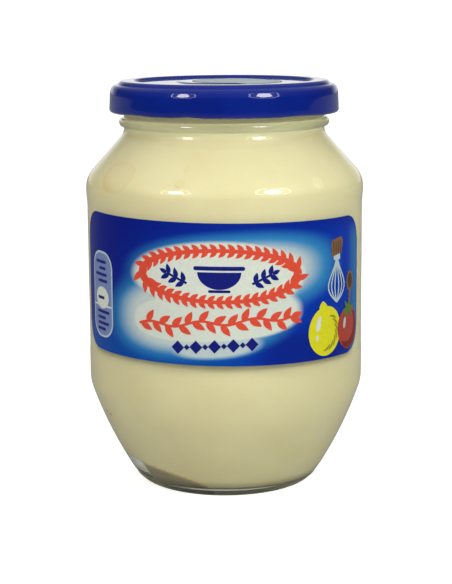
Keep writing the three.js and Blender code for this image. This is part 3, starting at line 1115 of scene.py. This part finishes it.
def printed(name, shapes, ink, layer):
    """Shapes of one ink, bent round the label as thin closed pieces."""
    dark = tuple(0.94 * level for level in INKS[ink])
    material = plain_material("ink_" + ink, dark, INKS[ink], 900.0, 0.3, specular=0.12)
    flat = bmesh.new()
    for shape in shapes:
        flat.faces.new([flat.verts.new((u, v, 0)) for u, v in shape])
    across = [vert.co.x for vert in flat.verts]
    cut = min(across) + PRINT_FACET
    while cut < max(across):
        geometry = [*flat.verts, *flat.edges, *flat.faces]
        bmesh.ops.bisect_plane(
            flat, geom=geometry, dist=0.001, plane_co=(cut, 0, 0), plane_no=(1, 0, 0)
        )
        cut += PRINT_FACET
    bmesh.ops.triangulate(flat, faces=flat.faces[:], ngon_method="EAR_CLIP")
    flat.verts.index_update()
    count = len(flat.verts)
    verts = [on_label(*vert.co.xy, height)
             for height in (layer + INK_THICKNESS, layer) for vert in flat.verts]
    faces = []
    for face in flat.faces:
        corners = [vert.index for vert in face.verts]
        faces += [corners, [count + k for k in reversed(corners)]]
    for edge in flat.edges:
        if len(edge.link_faces) == 1:
            a, b = (vert.index for vert in edge.verts)
            faces.append((a, b, count + b, count + a))
    flat.free()
    new_piece(name, verts, faces, material, smooth=False)


def make_capsule():
    """A small panel of plain bars round a white spot, on the left."""
    u0, u1, v0, v1 = -50.3, -38.1, -16.7, 9.2
    printed("capsule_rim", [rounded_box(u0, u1, v0, v1, 5.0)], "frost", FIRST)
    inner = rounded_box(u0 + 0.6, u1 - 0.6, v0 + 0.6, v1 - 0.6, 4.5)
    printed("capsule_field", [inner], "pale_blue", SECOND)
    middle = (u0 + u1) / 2
    spot = ellipse(middle, -4.8, 4.0, 3.3)
    rule = rounded_box(u0 + 0.6, u1 - 0.6, -7.4, -6.9, 0.2, 3)
    printed("capsule_spot", [spot, rule], "white", THIRD)
    bars = []
    for k, (v, width) in enumerate(CAPSULE_BARS):
        u = middle + (0.5 if k % 2 else -0.5)
        bars.append(rounded_box(u - width / 2, u + width / 2, v - 0.45, v + 0.45, 0.3, 3))
    printed("capsule_bars", bars, "navy", FOURTH)


def make_medallion():
    """A leafy oval wreath round a bowl between two sprigs."""
    u0, v0 = -1.7, 5.4
    printed("medallion_field", [ellipse(u0, v0, 23.8, 7.4, steps=72)], "white", FIRST)
    oval = arc(u0, v0, 23.8, 7.4, 0, 360, 120)
    steps = [Vector(b) - Vector(a) for a, b in zip(oval, oval[1:])]
    uprights = [abs(step.normalized().y) for step in steps]
    wreath = [stroke(oval, [1.1 + 1.2 * up for up in uprights + uprights[:1]])]
    for u, v, along in walk(oval, 2.55):
        upright = abs(sin(radians(along)))
        length, width = 2.9 + 1.5 * upright, 1.35 + 0.45 * upright
        wreath += [leaf(u, v, length, width, along + side) for side in (42, -42)]
    printed("medallion_wreath", wreath, "red", SECOND)
    stem = [(u0 + 9.4 + 0.75 * k, v0 - 2.2 + 0.34 * k) for k in range(9)]
    lean = degrees(atan2(0.34, 0.75))
    sprig = [stroke(stem, [0.7] * 9), leaf(*stem[-1], 2.6, 1.3, lean)]
    for u, v in stem[1:8:3]:
        sprig += [leaf(u, v, 3.1, 1.5, lean + side) for side in (52, -52)]
    motif = [
        rounded_box(u0 - 7.4, u0 + 7.4, v0 + 1.7, v0 + 2.9, 0.55, 3),
        arc(u0, v0 + 1.2, 6.3, 5.0, 180, 360, 24),
        rounded_box(u0 - 3.2, u0 + 3.2, v0 - 4.7, v0 - 3.9, 0.35, 3),
        *sprig,
        *[[(2 * u0 - u, v) for u, v in shape[::-1]] for shape in sprig],
    ]
    printed("medallion_motif", motif, "navy", SECOND)


def make_flourishes():
    """A red branch with leaves on both sides, and a navy line of lozenges."""
    stem = [(46.3 * t - 26.6, 2.9 * t - 9.6 + 0.7 * sin(6 * pi * t)) for t in shares(120)]
    shapes = [stroke(stem, [0.75] * 121), leaf(*stem[-1], 3.8, 1.9, 12)]
    for k, (u, v, along) in enumerate(walk(stem, 2.1, 0.3)):
        shapes.append(leaf(u, v, 4.3, 2.0, along + (44 if k % 2 else -44)))
    printed("flourish", shapes, "red", FIRST)
    lozenges = []
    for k in range(9):
        u, v = -14.0 + 2.7 * k, -15.6 + 0.1625 * k
        width, height = (0.9, 0.9) if k % 2 else (1.9, 2.0)
        lozenges.append([(u - width, v), (u, v - height), (u + width, v), (u, v + height)])
    printed("line_ornament", lozenges, "navy", FIRST)


def make_whisk(u, top):
    handle = [(u + 0.15 * sin(k), top - 0.7 * k) for k in range(8)]
    handle = stroke(handle, [4.2, 5.4, 5.8, 5.7, 5.2, 4.8, 4.9, 5.2])
    printed("whisk_handle", [handle], "brown", THIRD)
    grain = [stroke([(u + side, top - 0.9), (u + 0.9 * side, top - 4.4)], [0.4, 0.3])
             for side in (-1.7, -0.5, 0.8, 1.9)]
    printed("whisk_grain", grain, "dark_brown", FOURTH)
    root = top - 4.8
    wires = [rounded_box(u - 1.6, u + 1.6, root - 1.6, root + 0.2, 0.4, 3)]
    for reach in (-4.2, 4.2, -2.7, 2.7, -1.0, 1.0):
        wire = [(u + reach * (0.9 * sin(pi * t ** 1.5) + 0.1 * (1 - t)), root - 1.2 - 13.0 * t)
                for t in shares(24)]
        wires.append(stroke(wire, [0.5] * 25))
    printed("whisk_wires", wires, "light", SECOND)


def make_spoon(u, top):
    handle = [(u - 0.10 * k, top - 2.4 - 1.4 * k) for k in range(9)]
    bowl = ellipse(u, top, 2.2, 3.1)
    printed("spoon_wood", [bowl, stroke(handle, [1.3] * 9)], "brown", SECOND)
    printed("spoon_hollow", [ellipse(u, top + 0.1, 1.4, 2.2)], "dark_brown", THIRD)


def make_lemon(u, v):
    tips = [leaf(u - 0.9, v + 5.8, 3.2, 3.2, 98), leaf(u + 5.4, v - 1.0, 2.6, 3.0, -10)]
    printed("lemon_tips", tips, "yellow", THIRD - 0.01)
    printed("lemon_body", [ellipse(u, v, 6.8, 7.4, -8, steps=40)], "yellow", THIRD)
    shade = []
    for k in range(7):
        turn = radians(-100 + 22 * k)
        arch = [(u + (5.6 - 0.35 * j) * cos(turn + 0.16 * j),
                 v + (6.0 - 0.35 * j) * sin(turn + 0.16 * j)) for j in range(5)]
        shade.append(stroke(arch, [0.15, 0.65, 0.8, 0.6, 0.15]))
    printed("lemon_shade", shade, "olive", FOURTH)
    shine = [ellipse(u - 3.0, v + 2.4, 0.9, 2.4, -14), ellipse(u - 3.6, v - 1.8, 0.5, 0.9)]
    printed("lemon_shine", shine, "white", FOURTH)


def make_tomato(u, v):
    printed("tomato_body", [ellipse(u, v, 6.1, 6.4, 4, steps=36)], "tomato", FOURTH)
    outer = arc(u, v, 5.9, 6.2, -125, 45, 32)
    inner = arc(u - 1.2, v + 0.9, 5.1, 5.2, -125, 45, 32)
    printed("tomato_shade", [outer + inner[::-1]], "crimson", FOURTH + 0.02)
    calyx = [leaf(u, v + 5.4, 3.6, 1.3, lean) for lean in (15, 75, 130, 180, 225, 320)]
    printed("tomato_calyx", calyx, "green", FOURTH + 0.03)
    printed("tomato_shine", [ellipse(u - 2.3, v + 1.6, 0.7, 1.7, -12)], "light", FOURTH + 0.03)


# ---- Stage and view


def world_light():
    """Soft light from all round, brighter above and behind, and a white backdrop."""
    world = bpy.data.worlds.new("studio")
    world.use_nodes = True
    scene.world = world
    n = Nodes(world.node_tree)
    x, y, z = n.place("Generated")
    camera, glossy, through = n.rays("Is Camera Ray", "Is Glossy Ray", "Is Transmission Ray")
    above = n.ramp(z, 0.0, 1.0)
    front = n.ramp(y, -0.4, -1.0)
    soft = above * 0.46 + n.ramp(y, -0.15, 0.55) * 0.24 + (front * 0.70 + 0.20)
    soft = soft * (x * 0.12 + 1.0)
    far = n.ramp(y, 0.72, 1.0)
    seen = far * 0.95 * n.math("MAXIMUM", n.ramp(z, 0.46, 0.04), 0.45)
    seen = n.math("MAXIMUM", seen + 0.05, above * 0.5)
    mirrored = n.math("MAXIMUM", glossy, through)
    strength = soft + (seen - soft) * mirrored
    strength = strength * n.math("SUBTRACT", 1.0, camera) + camera
    light = n.add("Background", Color=(1, 1, 1), Strength=strength)
    n.add("OutputWorld", Surface=light)


def make_floor():
    """A pale floor that shows white, with the jar's soft shadow on it."""
    material, n = new_material("floor")
    seen, refracted = n.rays("Is Camera Ray", "Is Transmission Ray")
    # Seen through the glass the floor is lighter and glows faintly: painted light that lifts the
    # shade under the jar.
    shade = n.mix(refracted, (0.38, 0.38, 0.38), (0.58, 0.60, 0.56))
    diffuse = n.add("BsdfDiffuse", Color=n.mix(seen, shade, (0.8, 0.8, 0.8)))
    light = n.mix(seen, (0.065, 0.070, 0.062), (0.62, 0.62, 0.62))
    glow = n.add("Emission", Color=light, Strength=n.math("MAXIMUM", seen, refracted))
    n.add("OutputMaterial", Surface=n.add("AddShader", diffuse, glow))
    half = 30.0
    corners = [(-half, -half, 0), (half, -half, 0), (half, half, 0), (-half, half, 0)]
    floor = new_object("floor", corners, [(0, 1, 2, 3)], material)


# Lamps, in metres: how far they stand and what they face.
LAMP_DISTANCE = 0.45
LAMP_CLIMB = 26.0
LAMP_TARGET_Z = 0.093

# Each lamp: its angle, radius and tint.
LAMPS = {
    "left": (-41.4, 0.106, (1.0, 0.965, 0.93)),
    "right": (41.0, 0.131, (0.98, 1.0, 0.965)),
}

# Rings of a lamp, as shares of its radius, with their brightness.
LAMP_RINGS = ((0.0, 0.50, 17.0), (0.50, 0.90, 0.51), (0.90, 1.0, 6.8))


def ring_mesh(inner, outer):
    """A flat ring, or a disc if it has no inner radius, that faces along Z."""
    segments = 48
    verts, faces = [], []
    for i in range(segments):
        turn = 2 * pi * i / segments
        verts += [(r * cos(turn), r * sin(turn), 0) for r in (inner, outer)]
        a, b = 2 * i, 2 * ((i + 1) % segments)
        faces.append((a, a + 1, b + 1, b) if inner else (a, a + 1, b + 1))
    return verts, faces


def make_lamps():
    """Two round lamps in front, left and right, bright in the middle and at the rim."""
    for side, (angle, radius, tint) in LAMPS.items():
        climb = LAMP_DISTANCE * tan(radians(LAMP_CLIMB))
        place = Vector(around(angle, LAMP_DISTANCE, LAMP_TARGET_Z + climb))
        facing = (Vector((0, 0, LAMP_TARGET_Z)) - place).to_track_quat("Z", "Y")
        for k, (inner, outer, brightness) in enumerate(LAMP_RINGS):
            name = f"lamp_{side}_{k}"
            material, n = new_material(name)
            glow = n.add("Emission", Color=tint, Strength=brightness)
            n.add("OutputMaterial", Surface=glow)
            verts, faces = ring_mesh(inner * radius, outer * radius)
            lamp = new_object(name, verts, faces, material)
            lamp.rotation_mode = "QUATERNION"
            lamp.rotation_quaternion = facing
            lamp.location = place
            lamp.visible_camera = False


def make_camera():
    """A long lens a little above the lid, half a metre in front."""
    camera = bpy.data.cameras.new("camera")
    camera.sensor_width = 36.0
    camera.lens = 102.45
    camera.clip_end = 100.0
    holder = bpy.data.objects.new("camera", camera)
    holder.location = (0.0002, -0.5068, 0.1497)
    pitch = Matrix.Rotation(radians(90 - 10.243), 4, "X")
    roll = Matrix.Rotation(radians(-0.39), 4, "Z")
    holder.rotation_euler = (pitch @ roll).to_euler()
    scene.collection.objects.link(holder)
    scene.camera = holder


make_camera()
make_glass()
make_mayonnaise()
make_lid()
make_lid_print()
make_liner()
make_label_paper()
make_capsule()
make_medallion()
make_flourishes()

# A whisk and a wooden spoon stand behind a lemon and a tomato.
make_whisk(37.4, 14.6)
make_spoon(45.0, 1.0)
make_lemon(32.4, -12.4)
make_tomato(43.9, -12.8)

world_light()
make_floor()
make_lamps()
scene.view_settings.view_transform = "Standard"
